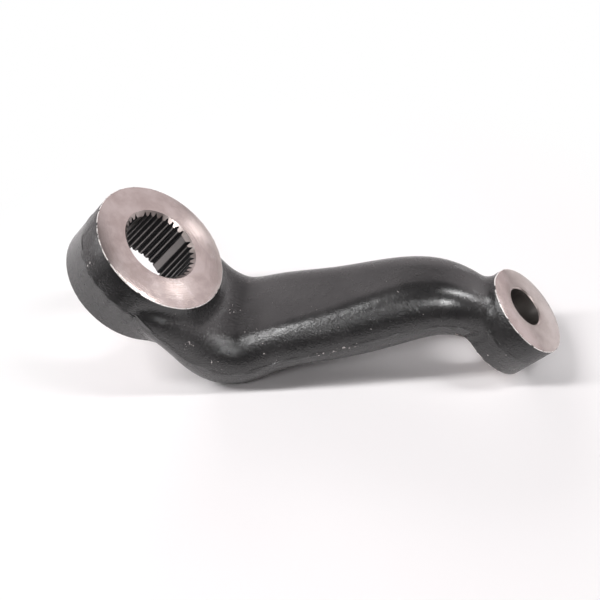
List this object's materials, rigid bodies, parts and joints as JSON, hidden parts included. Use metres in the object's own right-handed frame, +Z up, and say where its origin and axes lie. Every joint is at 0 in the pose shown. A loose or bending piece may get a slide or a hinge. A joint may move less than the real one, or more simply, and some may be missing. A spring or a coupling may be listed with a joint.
{
  "type": "steering arm",
  "caption": "Forged cranked steering arm with a splined hub bore at one end and a tapered ball-stud eye at the other.",
  "frame": {"origin": "centre of the splined bore on the hub's machined face", "axes": "+Z up with the arm lying on the floor as it comes to rest, +X level from the hub towards the eye, Y across the arm; both bore axes lie in the XZ plane, leaning from +Z towards +X"},
  "size_m": [0.2058, 0.0627, 0.0753],
  "materials": {
    "forged_steel": "black satin paint on an as-forged skin, with bare machined faces and bores"
  },
  "bodies": {
    "root": {"steering_arm": "forged_steel"}
  },
  "joints": []
}
